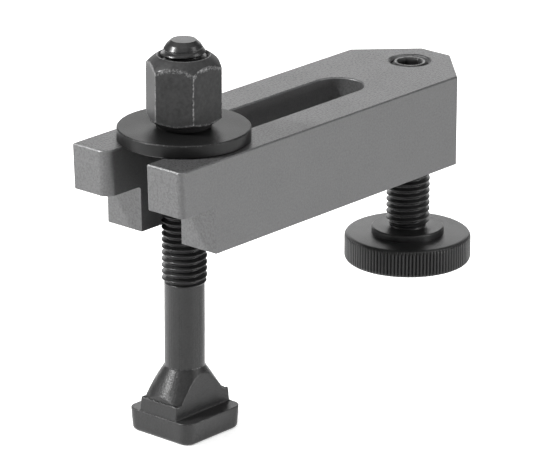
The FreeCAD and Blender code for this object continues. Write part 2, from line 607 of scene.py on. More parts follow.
def rounded_profile(corners: Sequence[tuple[float, float, float]], steps: int = 4) -> Profile:
    """Half section with rounded corners.

    Args:
        corners: Radius, height and rounding of each corner.
        steps: Facets of each rounding.

    Returns:
        The points of the profile.
    """
    points: list[tuple[float, float]] = []
    for index, (radius, height, rounding) in enumerate(corners):
        here = Vector((radius, height))
        if rounding <= 0.0 or index in (0, len(corners) - 1):
            points.append((radius, height))
            continue
        before = (Vector(corners[index - 1][:2]) - here).normalized()
        after = (Vector(corners[index + 1][:2]) - here).normalized()
        half = before.angle(after) / 2.0
        reach = rounding / math.tan(half)
        centre = here + (before + after).normalized() * (rounding / math.sin(half))
        start = here + before * reach - centre
        end = here + after * reach - centre
        sweep = start.angle_signed(end)
        for step in range(steps + 1):
            turn = Matrix.Rotation(-sweep * step / steps, 2)
            spot = centre + turn @ start
            points.append((spot.x, spot.y))
    return points


def lathe(
    name: str,
    profile: Profile,
    centre_x: float = 0.0,
    columns: int = 160,
    wear_and_highlight: Optional[Callable[[float, float], float]] = None,
) -> bpy.types.Mesh:
    """Turned solid from its half section.

    Args:
        name: Name of the mesh.
        profile: Radius and height of each point, from the lowest outwards and up.
        centre_x: Where the upright axis stands along the bar.
        columns: Facets round the axis.
        wear_and_highlight: Wear and painted highlight at a radius and height.

    Returns:
        The mesh in metres.
    """
    stack = RingStack(np.arange(columns) * (FULL_TURN / columns), centre_x)
    for radius, height in profile:
        stack.add(radius, height, wear_and_highlight(radius, height) if wear_and_highlight else 0.0)
    return stack.mesh(name)


class GeometryTree:
    """Geometry node tree with named inputs that is evaluated once into a plain mesh."""

    def __init__(self, name: str) -> None:
        """Starts an empty tree with a geometry output and a material input."""
        self.tree = bpy.data.node_groups.new(name, "GeometryNodeTree")
        self.tree.interface.new_socket(
            "Geometry", in_out="OUTPUT", socket_type="NodeSocketGeometry"
        )
        self.graph = Graph(self.tree)
        self.entry = self.graph.node("NodeGroupInput")
        self.identifiers: dict[str, str] = {}

    def number(self, name: str, default: float = 0.0) -> Term:
        """Adds a named number input.

        Args:
            name: What the number is.
            default: Its value when nothing sets it.

        Returns:
            The number for use in expressions.
        """
        socket = self.tree.interface.new_socket(name, in_out="INPUT", socket_type="NodeSocketFloat")
        socket.default_value = default
        self.identifiers[name] = socket.identifier
        return self.graph.out(self.entry, socket.identifier)

    def finish(self, geometry: bpy.types.NodeSocket) -> None:
        """Ends the tree in Realize Instances and Set Material.

        Args:
            geometry: The last geometry socket.
        """
        material = self.tree.interface.new_socket(
            "Material", in_out="INPUT", socket_type="NodeSocketMaterial"
        )
        self.identifiers["Material"] = material.identifier
        real = self.graph.node("GeometryNodeRealizeInstances", inputs={0: geometry})
        dressed = self.graph.node(
            "GeometryNodeSetMaterial",
            inputs={
                "Geometry": real.outputs[0],
                "Material": self.graph.find(self.entry.outputs, material.identifier),
            },
        )
        self.graph.node("NodeGroupOutput", inputs={0: dressed.outputs[0]})

    def evaluate(
        self, name: str, values: Mapping[str, float], material: bpy.types.Material
    ) -> bpy.types.Mesh:
        """Runs the tree on an empty carrier and keeps the result as a plain mesh.

        Args:
            name: Name of the mesh.
            values: The named inputs.
            material: The material that the tree sets.

        Returns:
            The mesh in metres.
        """
        carrier = bpy.data.objects.new(name + "_carrier", bpy.data.meshes.new(name + "_carrier"))
        bpy.context.scene.collection.objects.link(carrier)
        modifier = carrier.modifiers.new(name, "NODES")
        modifier.node_group = self.tree
        for key, value in values.items():
            modifier[self.identifiers[key]] = float(value)
        modifier[self.identifiers["Material"]] = material
        graph = bpy.context.evaluated_depsgraph_get()
        mesh = bpy.data.meshes.new_from_object(carrier.evaluated_get(graph))
        carrier.modifiers.remove(modifier)
        bpy.data.objects.remove(carrier)
        merge_doubles(mesh)
        return mesh


class ThreadTree(GeometryTree):
    """Helical thread skin, outer or inner, laid on a grid whose rows follow the helix."""

    ROWS_PER_PITCH = 16

    def __init__(self) -> None:
        """Builds the tree."""
        super().__init__("helical_thread")
        graph = self.graph
        side = self.number("Side", 1.0)
        pitch = self.number("Pitch", 1.75)
        crest = self.number("Crest Radius", 6.0)
        root = self.number("Root Radius", 4.93)
        bottom = self.number("Bottom")
        top = self.number("Top", 10.0)
        bottom_radius = self.number("Bottom Radius", 6.0)
        bottom_slope = self.number("Bottom Slope", 1.0)
        top_radius = self.number("Top Radius", 6.0)
        top_slope = self.number("Top Slope", 1.0)
        bottom_cap = self.number("Bottom Cap Radius")
        top_cap = self.number("Top Cap Radius")
        centre_x = self.number("Centre X")
        columns = self.number("Columns", 96.0)
        batter = self.number("Crest Batter", 0.04)
        wear_and_highlight = self.number("Crest Wear And Highlight", 0.25)
        phase = self.number("Phase")
        lead_radius = self.number("Lead Radius", 100.0)
        lead_slope = self.number("Lead Slope")

        start = pitch * graph.math("FLOOR", bottom / pitch) - 2.0 * pitch + phase
        rows = graph.math("CEIL", (top - start) / pitch + 1.0) * float(self.ROWS_PER_PITCH)
        grid = graph.node(
            "GeometryNodeMeshGrid",
            inputs={
                "Size X": 1.0,
                "Size Y": 1.0,
                "Vertices X": columns + 1.0,
                "Vertices Y": rows + 1.0,
            },
        )
        place = graph.node("GeometryNodeInputPosition")
        split = graph.node("ShaderNodeSeparateXYZ", inputs={0: place.outputs[0]})
        around = graph.out(split, 0) + 0.5
        row = graph.math("ROUND", (graph.out(split, 1) + 0.5) * rows)
        share = graph.math("FRACT", row / float(self.ROWS_PER_PITCH) + 0.0001)
        free_height = start + pitch * (row / float(self.ROWS_PER_PITCH) + around)
        height = graph.most(graph.least(free_height, top), bottom)

        rise = graph.math("ABSOLUTE", share * 2.0 - 1.0)
        flank = graph.ramp(rise, 0.20, 0.86, smooth=False)
        angle = around * FULL_TURN
        spin_x, spin_y = graph.math("COSINE", angle), graph.math("SINE", angle)
        spot = graph.node(
            "ShaderNodeCombineXYZ",
            inputs={0: spin_x * crest, 1: spin_y * crest, 2: free_height},
        )
        dents = graph.node(
            "ShaderNodeTexNoise",
            inputs={"Vector": spot.outputs[0], "Scale": 0.8, "Detail": 2.0},
        )
        dent = (graph.out(dents, 0) - 0.5) * batter * flank * 2.0
        thread = root + (crest - root) * flank - graph.most(dent, 0.0)

        from_bottom = side * bottom_radius + (height - bottom) * bottom_slope
        from_top = side * top_radius + (top - height) * top_slope
        ends = graph.least(from_bottom, from_top, lead_radius + (top - height) * lead_slope)
        skin = side * graph.least(side * thread, ends)
        whole = graph.ramp(ends - side * thread, 0.0, 0.1, smooth=False)
        step = pitch / float(self.ROWS_PER_PITCH)
        below = graph.math("LESS_THAN", free_height, bottom - step)
        above = graph.math("GREATER_THAN", free_height, top + step)
        radius = skin + below * (bottom_cap - skin)
        radius = radius + above * (top_cap - radius)
        last = graph.math("GREATER_THAN", row, rows - 0.5) * graph.math("LESS_THAN", side, 0.0)
        height = height + last * (bottom - height)

        moved = graph.node(
            "ShaderNodeCombineXYZ",
            inputs={
                0: (centre_x + spin_x * radius) * MM,
                1: spin_y * radius * MM,
                2: height * MM,
            },
        )
        # Crests are painted toward the bare colour: partly worn oxide, partly a painted highlight.
        marked = graph.node(
            "GeometryNodeStoreNamedAttribute",
            {"data_type": "FLOAT", "domain": "POINT"},
            {
                "Geometry": grid.outputs["Mesh"],
                "Name": WEAR_AND_HIGHLIGHT,
                "Value": wear_and_highlight * graph.ramp(flank, 0.55, 1.0) * whole,
            },
        )
        placed = graph.node(
            "GeometryNodeSetPosition",
            inputs={"Geometry": marked.outputs[0], "Position": moved.outputs[0]},
        )
        merged = graph.node(
            "GeometryNodeMergeByDistance",
            inputs={"Geometry": placed.outputs[0], "Distance": 0.0004 * MM},
        )
        turned = graph.node(
            "GeometryNodeFlipFaces",
            inputs={"Mesh": merged.outputs[0], "Selection": graph.math("LESS_THAN", side, 0.0)},
        )
        self.finish(turned.outputs[0])


class KnurlTree(GeometryTree):
    """Rim of a knurled disc: straight teeth that run out over its rounded edges."""

    COLUMNS_PER_TOOTH = 10
    ROWS_PER_STRETCH = 7

    def __init__(self) -> None:
        """Builds the tree."""
        super().__init__("knurled_rim")
        graph = self.graph
        outer = self.number("Radius", 17.5)
        base = self.number("Base")
        tall = self.number("Height", 7.8)
        edge = self.number("Edge Radius", 1.4)
        teeth = self.number("Teeth", 110.0)
        depth = self.number("Tooth Depth", 0.42)
        crest_share = self.number("Crest Share", 0.4)
        wear_and_highlight = self.number("Crest Wear And Highlight", 0.3)
        centre_x = self.number("Centre X")

        stretch = float(self.ROWS_PER_STRETCH)
        rows = 3.0 * stretch + 2.0
        grid = graph.node(
            "GeometryNodeMeshGrid",
            inputs={
                "Size X": 1.0,
                "Size Y": 1.0,
                "Vertices X": teeth * float(self.COLUMNS_PER_TOOTH) + 1.0,
                "Vertices Y": int(rows) + 1,
            },
        )
        place = graph.node("GeometryNodeInputPosition")
        split = graph.node("ShaderNodeSeparateXYZ", inputs={0: place.outputs[0]})
        around = graph.out(split, 0) + 0.5
        row = graph.math("ROUND", (graph.out(split, 1) + 0.5) * rows)
        quarter = FULL_TURN / 4.0
        low_bend = graph.ramp(row, 1.0, 1.0 + stretch, smooth=False) * quarter
        climb = graph.ramp(row, 1.0 + stretch, 1.0 + 2.0 * stretch, smooth=False)
        high_turn = graph.ramp(row, 1.0 + 2.0 * stretch, 1.0 + 3.0 * stretch, smooth=False)
        high_bend = high_turn * quarter
        blank = (
            outer
            - edge
            + edge * graph.math("SINE", low_bend)
            - edge * (1.0 - graph.math("COSINE", high_bend))
        )
        height = (
            base
            + edge * (1.0 - graph.math("COSINE", low_bend))
            + (tall - 2.0 * edge) * climb
            + edge * graph.math("SINE", high_bend)
        )
        tooth = graph.math("FRACT", around * teeth + 0.0001)
        number = graph.math("FLOOR", around * teeth + 0.5)
        hollow = 1.0 - graph.math("ABSOLUTE", tooth * 2.0 - 1.0)
        groove = graph.ramp(hollow, crest_share, 1.0, smooth=False)
        uneven = graph.node(
            "ShaderNodeTexWhiteNoise", {"noise_dimensions": "1D"}, {"W": number}
        )
        knurl = outer - depth * groove * (0.86 + 0.14 * graph.out(uneven, "Value"))
        inside = graph.math("GREATER_THAN", row, 0.5) * graph.math("LESS_THAN", row, rows - 0.5)
        radius = graph.least(blank, knurl) * inside
        angle = around * FULL_TURN
        moved = graph.node(
            "ShaderNodeCombineXYZ",
            inputs={
                0: (centre_x + graph.math("COSINE", angle) * radius) * MM,
                1: graph.math("SINE", angle) * radius * MM,
                2: height * MM,
            },
        )
        # Tooth tops at the rim are painted toward the bare colour: partly wear, partly a painted
        # highlight.
        marked = graph.node(
            "GeometryNodeStoreNamedAttribute",
            {"data_type": "FLOAT", "domain": "POINT"},
            {
                "Geometry": grid.outputs["Mesh"],
                "Name": WEAR_AND_HIGHLIGHT,
                "Value": wear_and_highlight * (1.0 - groove) * graph.ramp(blank, outer - 0.5 * edge, outer),
            },
        )
        placed = graph.node(
            "GeometryNodeSetPosition",
            inputs={"Geometry": marked.outputs[0], "Position": moved.outputs[0]},
        )
        merged = graph.node(
            "GeometryNodeMergeByDistance",
            inputs={"Geometry": placed.outputs[0], "Distance": 0.0004 * MM},
        )
        self.finish(merged.outputs[0])


@dataclass(frozen=True)
class MetricThread:
    """Standard metric thread and how it is laid on its pieces."""

    diameter: float = 12.0
    pitch: float = 1.75
    depth: float = 1.07
    play: float = 0.05
    phase: float = 1.4

    @property
    def crest(self) -> float:
        """Outer radius of the bolt's thread."""
        return self.diameter / 2.0

    @property
    def root(self) -> float:
        """Radius at the bottom of the bolt's grooves."""
        return self.crest - self.depth

    def outer(self, **sizes: float) -> dict[str, float]:
        """Inputs of a thread on a rod.

        Args:
            sizes: The tree's other inputs by name, with underscores for spaces.

        Returns:
            The named inputs.
        """
        values = {"Side": Side.OUTER.value, "Pitch": self.pitch, "Phase": self.phase}
        values |= {"Crest Radius": self.crest, "Root Radius": self.root}
        return values | {key.replace("_", " "): value for key, value in sizes.items()}

    def inner(self, **sizes: float) -> dict[str, float]:
        """Inputs of a thread in a hole, clear of the rod's by the thread's play.

        Args:
            sizes: The tree's other inputs by name, with underscores for spaces.

        Returns:
            The named inputs.
        """
        values = {"Side": Side.INNER.value, "Pitch": self.pitch, "Phase": self.phase}
        values |= {"Crest Batter": 0.0}
        values |= {"Crest Radius": self.crest + self.play, "Root Radius": self.root + self.play}
        return values | {key.replace("_", " "): value for key, value in sizes.items()}


THREAD = MetricThread()

MILLED = SteelFinish(
    slot="milled_steel",
    skin=0.094,
    metal=0.5,
    bare_and_highlight=0.2,
    roughness=0.4,
    bare_roughness=0.38,
    grain_size=0.5,
    grain_contrast=0.36,
    grain_depth=0.03,
    speck_size=0.6,
    specks=0.56,
    side_specks=0.05,
    line_contrast=0.04,
    raggedness=0.15,
)
FORGED = SteelFinish(
    slot="forged_steel",
    skin=0.014,
    metal=0.0,
    specular=0.28,
    bare_and_highlight=0.13,
    roughness=0.33,
    bare_roughness=0.4,
    grain_size=0.5,
    grain_contrast=0.6,
    grain_depth=0.075,
    cloud_size=6.0,
    cloud_contrast=0.25,
)
ROLLED = replace(FORGED, specular=0.24, roughness=0.3, grain_depth=0.015)
TURNED = SteelFinish(
    slot="washer_steel",
    skin=0.005,
    metal=0.0,
    specular=0.2,
    bare_and_highlight=0.2,
    roughness=0.4,
    bare_roughness=0.35,
    grain_size=0.4,
    grain_contrast=0.2,
    grain_depth=0.02,
    turned_about=(0.0, 0.0),
    ring_contrast=0.1,
    ring_depth=0.005,
)
OXIDE = SteelFinish(
    slot="nut_steel",
    skin=0.024,
    metal=0.0,
    specular=0.125,
    bare_and_highlight=0.18,
    roughness=0.48,
    bare_roughness=0.42,
    grain_size=0.9,
    grain_contrast=0.6,
    grain_depth=0.02,
    cloud_size=3.0,
    cloud_contrast=0.4,
    wear_size=0.7,
    raggedness=0.55,
)


@dataclass
class TSlotBolt:
    """T-slot bolt: forged head and neck, plain shank and rolled thread."""

    workshop: Workshop
    threads: ThreadTree
    box: NodeBox = field(default_factory=lambda: NodeBox.of(Part.BOLT))
    head_height: float = 6.3
    head_draft: float = 0.35
    head_corner: float = 3.0
    head_foot_round: float = 1.0
    head_top_round: float = 0.25
    neck_length: float = 21.2
    neck_width: float = 12.9
    neck_height: float = 3.7
    taper_diameter: float = 21.1
    taper_height: float = 8.2
    end_draft: float = 1.2
    flank_draft: float = 0.25
    shank_radius: float = 5.35
    thread_length: float = 66.2
    point_radius: float = 3.3
    point_slope: float = 1.1
    lead_radius: float = 3.76
    lead_slope: float = 0.64
    neck_fillet: float = 0.35
    ledge_round: float = 0.22

    @property
    def thread_start(self) -> float:
        """Height where the thread begins."""
        return self.box.high.z - self.thread_length

    @property
    def neck_top(self) -> float:
        """Height of the ledges round the foot of the cone."""
        return self.head_height + self.neck_height

    def angles(self) -> np.ndarray:
        """Directions of the forged end's columns, closer together at the corners.

        Returns:
            Angles in radians, rising from 0.
        """
        spread = [math.radians(step * 2.0) for step in range(180)]
        neck_corner = math.atan2(self.neck_width, self.neck_length)
        for quadrant in range(4):
            middle = quadrant * math.pi / 2.0
            for step in range(-5, 6):
                spread.append(middle + math.radians(45.0 + step * 1.1))
                lean = neck_corner if quadrant % 2 == 0 else math.pi / 2.0 - neck_corner
                spread.append(middle + lean + math.radians(step * 0.28))
        ordered = sorted(angle % FULL_TURN for angle in spread)
        kept = [ordered[0]]
        for angle in ordered[1:]:
            if angle - kept[-1] > math.radians(0.15):
                kept.append(angle)
        return np.array(kept)

    @staticmethod
    def rectangle(angles: np.ndarray, half_x: float, half_y: float, corner: float) -> np.ndarray:
        """Reach of a rectangle with rounded corners in each direction.

        Args:
            angles: The directions.
            half_x: Half its size along X.
            half_y: Half its size along Y.
            corner: Radius of its corners.

        Returns:
            Distance from the axis to its edge in each direction.
        """
        cosine = np.maximum(np.abs(np.cos(angles)), 1e-9)
        sine = np.maximum(np.abs(np.sin(angles)), 1e-9)
        reach = np.minimum(half_x / cosine, half_y / sine)
        middle_x, middle_y = half_x - corner, half_y - corner
        in_corner = (reach * cosine > middle_x) & (reach * sine > middle_y)
        along = cosine * middle_x + sine * middle_y
        inside = np.maximum(along**2 - middle_x**2 - middle_y**2 + corner**2, 0.0)
        return np.where(in_corner, along + np.sqrt(inside), reach)

    def forged_end(self) -> bpy.types.Mesh:
        """Lofts the head, the neck, the coned root and the plain shank.

        Returns:
            The closed mesh in metres.
        """
        stack = RingStack(self.angles())
        self.add_head(stack)
        self.add_neck(stack)
        self.add_cone(stack)
        taper_top = self.neck_top + self.taper_height
        for height in np.linspace(taper_top + 0.25, self.thread_start, 24):
            stack.add(self.shank_radius, float(height))
        stack.add(0.0, self.thread_start)
        return stack.mesh("forged_bolt_end", self.forge)

    def add_head(self, stack: RingStack) -> None:
        """Adds the square head with its drafted flanks and rounded edges.

        Args:
            stack: The rings so far.
        """
        angles = stack.angles

        def head(height: float, inset: float, wear_and_highlight: float = 0.0) -> None:
            """Adds one ring of the head."""
            half = self.box.high.x - self.head_draft * (1.0 - height / self.head_height) - inset
            reach = self.rectangle(angles, half, half, max(self.head_corner - inset, 0.2))
            stack.add(reach, height, wear_and_highlight)

        stack.add(0.0, 0.0)
        foot_round, top_round = self.head_foot_round, self.head_top_round
        head(0.0, foot_round + 2.0)
        # The foot rounding is painted bright: a painted reflection of the floor.
        for step in range(7):
            bend = math.radians(15.0 * step)
            head(foot_round * (1.0 - math.cos(bend)), foot_round * (1.0 - math.sin(bend)), 0.35)
        for share in (0.15, 0.3, 0.5, 0.7, 0.85):
            head(foot_round + share * (self.head_height - foot_round), 0.0)
        # The top rounding is given the bright bare colour too.
        for step in range(4):
            bend = math.radians(30.0 * step)
            height = self.head_height - top_round * (1.0 - math.sin(bend))
            head(height, top_round * (1.0 - math.cos(bend)), 0.4)
        head(self.head_height, top_round + 0.06)

    def root_block(self, angles: np.ndarray, height: float, inset: float = 0.0) -> np.ndarray:
        """Reach of the drafted block that the neck and the cone are forged in.

        Args:
            angles: The directions.
            height: The level.
            inset: How far its sides lie further in.

        Returns:
            Distance from the axis to the block's sides.
        """
        climb = (height - self.head_height) / (self.neck_height + self.taper_height)
        half_x = self.neck_length / 2.0 - self.end_draft * climb - inset
        half_y = self.neck_width / 2.0 - self.flank_draft * climb - inset
        return self.rectangle(angles, half_x, half_y, 0.3)

    def add_neck(self, stack: RingStack) -> None:
        """Adds the neck block, whose ledges stand out round the foot of the cone.

        Args:
            stack: The rings so far.
        """
        angles = stack.angles
        fillet = self.neck_fillet
        for step in range(5):
            bend = math.radians(22.5 * step)
            height = self.head_height + fillet * (1.0 - math.cos(bend))
            reach = self.root_block(angles, height, -fillet * (1.0 - math.sin(bend)))
            stack.add(np.minimum(reach, stack.last_radius), height)
        for share in (0.15, 0.3, 0.5, 0.7, 0.85):
            height = self.head_height + fillet + share * (self.neck_height - 1.5 * fillet)
            stack.add(self.root_block(angles, height), height)
        ledge = self.root_block(angles, self.neck_top) - self.taper_diameter / 2.0
        ledge = np.clip(ledge / 0.4, 0.0, 1.0)
        on_end = np.abs(np.cos(angles)) > math.cos(math.atan2(self.neck_width, self.neck_length))
        ledge = np.maximum(ledge, 0.7 * on_end)
        for step in range(4):
            bend = math.radians(30.0 * step)
            height = self.neck_top - self.ledge_round * (1.0 - math.sin(bend))
            inset = self.ledge_round * (1.0 - math.cos(bend)) * ledge
            stack.add(self.root_block(angles, height) - inset, height, 0.5 * ledge)
        stack.add(self.root_block(angles, self.neck_top) - 0.5 * ledge, self.neck_top)

    def add_cone(self, stack: RingStack) -> None:
        """Adds the cone between the block's flanks, up to the plain shank.

        Args:
            stack: The rings so far.
        """
        cone_foot = self.taper_diameter / 2.0
        sharpness = 12.0
        for step in range(25):
            climb = step / 24.0
            height = self.neck_top + climb * self.taper_height
            cone = cone_foot + (self.shank_radius - cone_foot) * climb
            flat = self.root_block(stack.angles, height)
            soft = -np.log(np.exp(-sharpness * cone) + np.exp(-sharpness * flat)) / sharpness
            # The top ring, where the cone meets the shank, is painted bright: a painted highlight
            # along the junction.
            wear_and_highlight = 0.55 if step == 24 else 0.0
            stack.add(np.minimum(soft, stack.last_radius), height, wear_and_highlight)

    def forge(self, spot: Vector) -> Vector:
        """Moves a point as the unevenness of a forging and its flash do.

        Args:
            spot: The point in millimetres.

        Returns:
            Where it lies.
        """
        reach = math.hypot(spot.x, spot.y)
        if reach <= self.shank_radius or spot.z <= 0.0:
            return spot
        inward = 0.03 + 0.03 * noise.fractal(spot * 0.45, 0.6, 2.0, 2)
        moved = spot - Vector((spot.x, spot.y, 0.0)) * (inward / reach)
        near_end = abs(spot.x) > self.neck_length / 2.0 - 1.5
        if near_end and abs(spot.z - self.neck_top) < 0.3:
            flash = noise.noise(Vector((spot.x * 0.3, spot.y * 1.1, 4.0)))
            moved.z += 0.35 * flash
            moved.x -= math.copysign(0.2 * abs(flash), spot.x)
        return moved

    def thread(self, material: bpy.types.Material) -> bpy.types.Mesh:
        """Rolled thread up to the coned point."""
        sizes = THREAD.outer(
            Bottom=self.thread_start,
            Top=self.box.high.z,
            Bottom_Radius=self.shank_radius,
            Bottom_Slope=0.8,
            Top_Radius=self.point_radius,
            Top_Slope=self.point_slope,
            Lead_Radius=self.lead_radius,
            Lead_Slope=self.lead_slope,
            Columns=80.0,
        )
        return self.threads.evaluate("bolt_thread", sizes, material)

    def build(self) -> None:
        """Makes the bolt's pieces."""
        forged = new_piece("forged_bolt_end", self.forged_end(), 32.0)
        self.workshop.deliver(forged, FORGED, Part.BOLT)
        thread = self.thread(self.workshop.material(ROLLED))
        self.workshop.deliver(new_piece("bolt_thread", thread, 70.0), ROLLED, Part.BOLT)


@dataclass
class Washer:
    """Flat turned washer under the nut."""

    workshop: Workshop
    box: NodeBox = field(default_factory=lambda: NodeBox.of(Part.WASHER))
    bore_play: float = 0.5
    edge_round: float = 0.3

    def build(self) -> None:
        """Makes the washer."""
        bore = THREAD.crest + self.bore_play
        rim = self.box.high.x
        base, top, edge = self.box.low.z, self.box.high.z, self.edge_round
        middle = (bore + rim) / 2.0
        corners = [
            (middle, base, 0.0),
            (rim - 2.0 * edge, base, 0.0),
            (rim - edge, base, 0.08),
            (rim, base + edge, 0.12),
            (rim, base + 2.0 * edge, 0.0),
            (rim, top - 2.0 * edge, 0.0),
            (rim, top - edge, 0.12),
            (rim - edge, top, 0.08),
            (rim - 2.0 * edge, top, 0.0),
            (bore + edge, top, 0.08),
            (bore, top - edge, 0.12),
            (bore, base + edge, 0.12),
            (bore + edge, base, 0.08),
            (middle, base, 0.0),
        ]

        def wear_and_highlight(radius: float, height: float) -> float:
            """Bright arris at the rim's edges."""
            on_edge = radius > rim - 1.2 * edge and min(height - base, top - height) < 1.2 * edge
            return 0.36 if on_edge else 0.0

        mesh = lathe("turned_washer", rounded_profile(corners), columns=192, wear_and_highlight=wear_and_highlight)
        self.workshop.deliver(new_piece("turned_washer", mesh, 25.0), TURNED, Part.WASHER)


@dataclass
class ClampNut:
    """Tall hexagon nut with a domed crown and a coned foot on a turned seat."""

    workshop: Workshop
    threads: ThreadTree
    box: NodeBox = field(default_factory=lambda: NodeBox.of(Part.NUT))
    flats: float = 17.8
    turn: float = 56.3
    dome_radius: float = 13.0
    mouth_flare: float = 0.7
    crown_land: float = 0.35
    seat_inset: float = 0.9
    seat_height: float = 1.3
    foot_land: float = 0.3
    foot_slope: float = 35.0

    def build(self) -> None:
        """Makes the nut's skin and its thread."""
        base, top = self.box.low.z, self.box.high.z
        bore = THREAD.crest + 0.16
        mouth = THREAD.crest + self.mouth_flare
        skin = self.skin(base, top, bore, mouth)
        material = self.workshop.material(OXIDE)
        flare_depth = mouth - bore
        sizes = THREAD.inner(
            Bottom=base + flare_depth,
            Top=top - flare_depth,
            Bottom_Radius=bore - 0.01,
            Top_Radius=bore - 0.01,
            Bottom_Cap_Radius=bore - 0.01,
            Top_Cap_Radius=bore - 0.01,
            Columns=72.0,
        )
        thread = self.threads.evaluate("nut_thread", sizes, material)
        mesh = join_meshes("hexagon_nut", [skin, thread])
        self.workshop.deliver(new_piece("hexagon_nut", mesh, 34.0), OXIDE, Part.NUT)

    def skin(self, base: float, top: float, bore: float, mouth: float) -> bpy.types.Mesh:
        """Outside of the nut, its crown and its plain bore.

        Args:
            base: Height of its seat.
            top: Height of its crown.
            bore: Radius of the bore behind the thread.
            mouth: Radius of the bore's flared ends.

        Returns:
            The closed mesh in metres.
        """
        near = [0.0, 0.5, 1.0, 1.6, 2.4, 4.0, 6.5, 9.5, 13.0, 17.0, 21.0, 25.5, 30.0]
        steps = near + [60.0 - step for step in reversed(near[1:-1])]
        from_corner = np.array([min(step, 60.0 - step) for _ in range(6) for step in steps])
        degrees = [self.turn + 60.0 * corner + step for corner in range(6) for step in steps]
        stack = RingStack(np.radians(degrees))
        half = self.flats / 2.0
        hexagon = half / np.cos(np.radians(30.0 - from_corner))
        hexagon = hexagon - 0.06 * np.exp(-((from_corner / 0.9) ** 2))
        corner = 0.62 * np.exp(-((from_corner / 2.0) ** 2))
        around = [Vector((math.cos(a), math.sin(a), 0.3)) * 6.0 for a in stack.angles]
        wave = np.array([noise.noise(place) for place in around])
        ragged = 0.14 * wave

        seat = half - self.seat_inset
        slope = math.tan(math.radians(self.foot_slope))
        cone_start = base + self.seat_height
        cone_end = cone_start + (hexagon - seat) * slope
        foot = mouth + self.foot_land
        stack.add((foot + mouth) / 2.0, base)
        stack.add(foot, base)
        stack.add(foot + 0.05, base + 0.1)
        stack.add(seat, cone_start - 0.05)
        for share in (0.02, 0.3, 0.6, 0.85):
            radius = seat + (hexagon - seat) * share
            stack.add(radius, cone_start + (radius - seat) * slope)
        stack.add(hexagon - 0.08, cone_end - 0.08 * slope + ragged, 0.2)
        stack.add(hexagon - 0.02, cone_end + 0.02 + ragged, 0.5)
        stack.add(hexagon, cone_end + 0.16 + ragged, np.maximum(0.5, corner))
        stack.add(hexagon, cone_end + 0.45 + ragged, np.maximum(0.44, corner))
        stack.add(hexagon, cone_end + 0.9 + ragged, np.maximum(0.2, corner))

        crown = mouth + self.crown_land
        dome_centre = top - math.sqrt(self.dome_radius**2 - crown**2)
        dome_start = dome_centre + np.sqrt(self.dome_radius**2 - hexagon**2)
        for share in (0.15, 0.35, 0.5, 0.65, 0.85):
            stack.add(hexagon, cone_end + share * (dome_start - cone_end), corner)
        stack.add(hexagon, dome_start - 1.9 + ragged, corner)
        stack.add(hexagon, dome_start - 1.2 + ragged, np.maximum(0.4, corner))
        stack.add(hexagon, dome_start - 0.4 + ragged, np.maximum(0.5, corner))
        stack.add(hexagon, dome_start - 0.2 + ragged, np.maximum(0.5, corner))
        stack.add(hexagon - 0.02, dome_start - 0.04 + ragged * 0.5, np.maximum(0.5, corner))

        def dome(inset: Union[np.ndarray, float], wear_and_highlight: float) -> None:
            """Adds a ring of the domed crown."""
            radius = np.maximum(hexagon - inset, crown)
            stack.add(radius, dome_centre + np.sqrt(self.dome_radius**2 - radius**2), wear_and_highlight)

        dome(0.1, 0.45)
        dome(0.22, 0.2)
        dome(0.4, 0.0)
        for share in (0.2, 0.4, 0.6, 0.8):
            dome(0.4 + (hexagon - crown - 0.55) * share, 0.0)
        dome(hexagon - crown - 0.16, 0.2)
        stack.add(crown - 0.04, top, 0.65)
        stack.add(mouth + 0.05, top, 0.55)
        stack.add(mouth, top - 0.05, 0.4)
        flare = mouth - bore
        stack.add(bore, top - flare)
        stack.add(bore, base + flare)
        stack.add(mouth, base)
        stack.add((foot + mouth) / 2.0, base)
        return stack.mesh("nut_skin")


